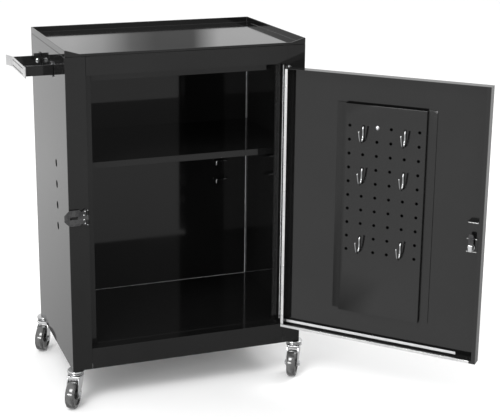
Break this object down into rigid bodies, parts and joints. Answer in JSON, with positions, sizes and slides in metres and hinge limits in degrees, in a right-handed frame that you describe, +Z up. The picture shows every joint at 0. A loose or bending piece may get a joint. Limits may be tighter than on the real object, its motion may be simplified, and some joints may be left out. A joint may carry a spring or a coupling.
{
  "type": "rolling tool chest",
  "caption": "Compact sheet-metal rolling tool cabinet with a pegboard door, inner shelf, rimmed top tray, side handle and swivel casters.",
  "frame": {"origin": "on the floor under the middle of the whole chest's bounding box with the door standing open as stored", "axes": "+X across the front to the viewer's right, towards the door hinge; +Y from the open front to the back panel; +Z up"},
  "size_m": [0.7244, 0.5874, 0.651],
  "materials": {
    "enamel": "glossy black enamel",
    "enamel_trim": "satin black enamel",
    "chrome": "bright chrome plating",
    "zinc": "bright zinc plating",
    "grip": "ribbed light grey metal strip",
    "wheel": "smooth black"
  },
  "bodies": {
    "cabinet": {"left_side_panel": "enamel", "right_side_panel": "enamel", "back_panel": "enamel", "top_tray": "enamel", "floor_panel": "enamel", "left_stile": "enamel", "right_stile": "enamel", "header_rail": "enamel", "bottom_rail": "enamel", "shelf": "enamel", "shelf_rail_left": "enamel", "shelf_rail_right": "enamel", "wall_hook_upper": "chrome", "wall_hook_lower": "chrome", "handle_bracket_front": "zinc", "handle_arm_front": "enamel_trim", "handle_bolt_front": "chrome", "handle_bracket_back": "zinc", "handle_arm_back": "enamel_trim", "handle_bolt_back": "chrome", "handle_grip": "grip", "hasp_base": "enamel_trim", "hasp_pin": "zinc", "hinge_leaf_frame": "enamel_trim", "hinge_pin": "zinc", "caster_head_front_left": "chrome", "caster_socket_front_left": "zinc", "caster_head_front_right": "chrome", "caster_socket_front_right": "zinc", "caster_head_rear_left": "chrome", "caster_socket_rear_left": "zinc", "caster_head_rear_right": "chrome", "caster_socket_rear_right": "zinc"},
    "door": {"door_pan": "enamel", "hinge_leaf_door": "enamel_trim", "pegboard": "enamel", "peg_hook_upper_left": "chrome", "peg_hook_upper_right": "chrome", "peg_hook_middle_left": "chrome", "peg_hook_middle_right": "chrome", "peg_hook_lower_left": "chrome", "peg_hook_lower_right": "chrome", "lock_housing": "chrome", "lock_cover": "enamel", "hasp_staple": "enamel_trim"},
    "lock_barrel": {"lock_plug": "chrome", "lock_cam": "enamel_trim"},
    "hasp": {"hasp_strap": "enamel_trim"},
    "caster_front_left": {"caster_fork_front_left": "chrome", "caster_axle_front_left": "zinc"},
    "wheel_front_left": {"caster_wheel_front_left": "wheel"},
    "caster_front_right": {"caster_fork_front_right": "chrome", "caster_axle_front_right": "zinc"},
    "wheel_front_right": {"caster_wheel_front_right": "wheel"},
    "caster_rear_left": {"caster_fork_rear_left": "chrome", "caster_axle_rear_left": "zinc"},
    "wheel_rear_left": {"caster_wheel_rear_left": "wheel"},
    "caster_rear_right": {"caster_fork_rear_right": "chrome", "caster_axle_rear_right": "zinc"},
    "wheel_rear_right": {"caster_wheel_rear_right": "wheel"}
  },
  "joints": [
    {"name": "door_swing", "type": "hinge", "parent": "cabinet", "child": "door", "pos_m": [0.10835, -0.0076, 0.356], "axis": [0, 0, 1], "range_deg": [-133.5, 44]},
    {"name": "lock_turn", "type": "hinge", "parent": "door", "child": "lock_barrel", "pos_m": [0.34259, -0.27376, 0.322], "axis": [0.7254, 0.6884, 0], "range_deg": [0, 90]},
    {"name": "hasp_fold", "type": "hinge", "parent": "cabinet", "child": "hasp", "pos_m": [-0.26815, -0.0072, 0.3555], "axis": [0, 0, 1], "range_deg": [0, 180]},
    {"name": "caster_swivel_front_left", "type": "hinge", "parent": "cabinet", "child": "caster_front_left", "pos_m": [-0.29465, 0.0047, 0.057], "axis": [0, 0, 1], "continuous": true},
    {"name": "wheel_spin_front_left", "type": "hinge", "parent": "caster_front_left", "child": "wheel_front_left", "pos_m": [-0.30405, -0.01065, 0.025], "axis": [0.8526, -0.5225, 0], "continuous": true},
    {"name": "caster_swivel_front_right", "type": "hinge", "parent": "cabinet", "child": "caster_front_right", "pos_m": [0.13435, 0.0047, 0.057], "axis": [0, 0, 1], "continuous": true},
    {"name": "wheel_spin_front_right", "type": "hinge", "parent": "caster_front_right", "child": "wheel_front_right", "pos_m": [0.12495, -0.01065, 0.025], "axis": [0.8526, -0.5225, 0], "continuous": true},
    {"name": "caster_swivel_rear_left", "type": "hinge", "parent": "cabinet", "child": "caster_rear_left", "pos_m": [-0.29465, 0.2777, 0.057], "axis": [0, 0, 1], "continuous": true},
    {"name": "wheel_spin_rear_left", "type": "hinge", "parent": "caster_rear_left", "child": "wheel_rear_left", "pos_m": [-0.30405, 0.26235, 0.025], "axis": [0.8526, -0.5225, 0], "continuous": true},
    {"name": "caster_swivel_rear_right", "type": "hinge", "parent": "cabinet", "child": "caster_rear_right", "pos_m": [0.13435, 0.2777, 0.057], "axis": [0, 0, 1], "continuous": true},
    {"name": "wheel_spin_rear_right", "type": "hinge", "parent": "caster_rear_right", "child": "wheel_rear_right", "pos_m": [0.12495, 0.26235, 0.025], "axis": [0.8526, -0.5225, 0], "continuous": true}
  ]
}
